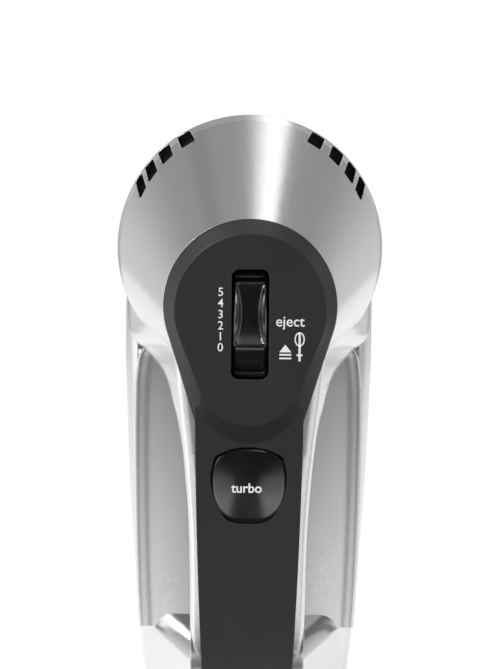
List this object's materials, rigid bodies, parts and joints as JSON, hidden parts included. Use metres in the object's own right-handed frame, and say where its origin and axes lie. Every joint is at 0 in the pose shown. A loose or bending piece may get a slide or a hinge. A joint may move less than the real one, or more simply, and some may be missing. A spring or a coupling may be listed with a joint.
{
  "type": "hand mixer",
  "caption": "Hand mixer standing on its heel, with a closed handle, thumb speed wheel, boost button and a pair of beaters that push out.",
  "frame": {"origin": "on the surface that the mixer stands on, in its middle plane, at the middle rubber foot of the heel", "axes": "+Z from the heel to the nose, +X across the mixer, -Y towards the handle and +Y along the beaters, away from the handle"},
  "size_m": [0.0886, 0.2605, 0.1993],
  "materials": {
    "silver_housing": "satin silver lacquer",
    "soft_touch": "charcoal soft-touch rubber over plastic",
    "gloss_black": "moulded gloss",
    "black_plastic": "fine moulded texture",
    "natural_plastic": "unpainted moulding",
    "gear_plastic": "acetal moulding",
    "steel": "turned",
    "spring_steel": "drawn wire",
    "polished_steel": "polished stainless steel",
    "laminated_steel": "stacked laminations",
    "bare_aluminium": "pressed",
    "enamelled_copper": "enamelled winding wire",
    "copper": "turned copper bars",
    "brass_strip": "folded strip",
    "bronze": "sintered",
    "carbon": "pressed carbon",
    "circuit_board": "phenolic board",
    "rubber": "moulded"
  },
  "bodies": {
    "housing": {"board_screws": "steel", "brush_holders": "brass_strip", "brush_springs": "spring_steel", "carbon_brushes": "carbon", "cord_gland": "rubber", "eject_springs": "spring_steel", "field_coils": "enamelled_copper", "filter_capacitor": "natural_plastic", "front_bearing": "bronze", "front_motor_bracket": "bare_aluminium", "gearbox_cover": "natural_plastic", "gearbox_frame": "natural_plastic", "gearbox_screws": "steel", "handle_cover": "soft_touch", "housing_screws": "steel", "lower_housing": "silver_housing", "motor_stator": "laminated_steel", "rear_bearing": "bronze", "rear_motor_bracket": "bare_aluminium", "rubber_feet": "rubber", "socket_collar_left": "black_plastic", "socket_collar_right": "black_plastic", "speed_board": "circuit_board", "spindle_bushes": "bronze", "triac_heatsink": "bare_aluminium", "turbo_microswitch": "black_plastic", "turbo_spring": "spring_steel", "upper_housing": "silver_housing", "vent_liner": "black_plastic", "worm_bush": "bronze"},
    "motor": {"armature_core": "laminated_steel", "armature_winding": "enamelled_copper", "commutator": "copper", "motor_shaft": "steel", "worm": "steel", "cooling_fan": "black_plastic"},
    "eject": {"eject_carriage": "natural_plastic", "eject_pushers": "steel", "speed_wheel_pin": "steel"},
    "speed": {"speed_wheel": "gloss_black"},
    "turbo": {"turbo_button": "gloss_black"},
    "spindle_left": {"spindle_left": "steel", "drive_gear_left": "gear_plastic", "retaining_ring_left": "spring_steel"},
    "beater_left": {"beater_shaft_left": "polished_steel", "beater_blades_left": "polished_steel", "beater_collar_left": "black_plastic"},
    "spindle_right": {"spindle_right": "steel", "drive_gear_right": "gear_plastic", "retaining_ring_right": "spring_steel"},
    "beater_right": {"beater_shaft_right": "polished_steel", "beater_blades_right": "polished_steel", "beater_collar_right": "black_plastic"}
  },
  "joints": [
    {"name": "motor_spin", "type": "hinge", "parent": "housing", "child": "motor", "pos_m": [0, 0.031, 0.073], "axis": [0, 0, 1], "continuous": true},
    {"name": "spindle_left_spin", "type": "hinge", "parent": "housing", "child": "spindle_left", "pos_m": [-0.018, 0.031, 0.15], "axis": [0, 1, 0], "continuous": true},
    {"name": "spindle_right_spin", "type": "hinge", "parent": "housing", "child": "spindle_right", "pos_m": [0.018, 0.031, 0.15], "axis": [0, 1, 0], "continuous": true},
    {"name": "beater_left_out", "type": "slide", "parent": "spindle_left", "child": "beater_left", "axis": [0, 1, 0], "range_m": [0, 0.036]},
    {"name": "beater_right_out", "type": "slide", "parent": "spindle_right", "child": "beater_right", "axis": [0, 1, 0], "range_m": [0, 0.036]},
    {"name": "eject_press", "type": "slide", "parent": "housing", "child": "eject", "axis": [0, 1, 0], "range_m": [0, 0.0045], "deforming": ["eject_springs"]},
    {"name": "speed_turn", "type": "hinge", "parent": "eject", "child": "speed", "pos_m": [0, -0.0455, 0.1288], "axis": [-1, 0, 0], "range_deg": [0, 39]},
    {"name": "turbo_press", "type": "slide", "parent": "housing", "child": "turbo", "axis": [0, 1, 0], "range_m": [0, 0.002], "stiffness_N_per_m": 900, "springref_m": -0.001, "deforming": ["turbo_spring"]}
  ],
  "couplings": [
    {"joint": "spindle_left_spin", "follows": "motor_spin", "ratio": 0.083333},
    {"joint": "spindle_right_spin", "follows": "motor_spin", "ratio": -0.083333},
    {"joint": "beater_right_out", "follows": "beater_left_out", "ratio": 1},
    {"joint": "eject_press", "follows": "beater_left_out", "ratio": 0.125}
  ]
}
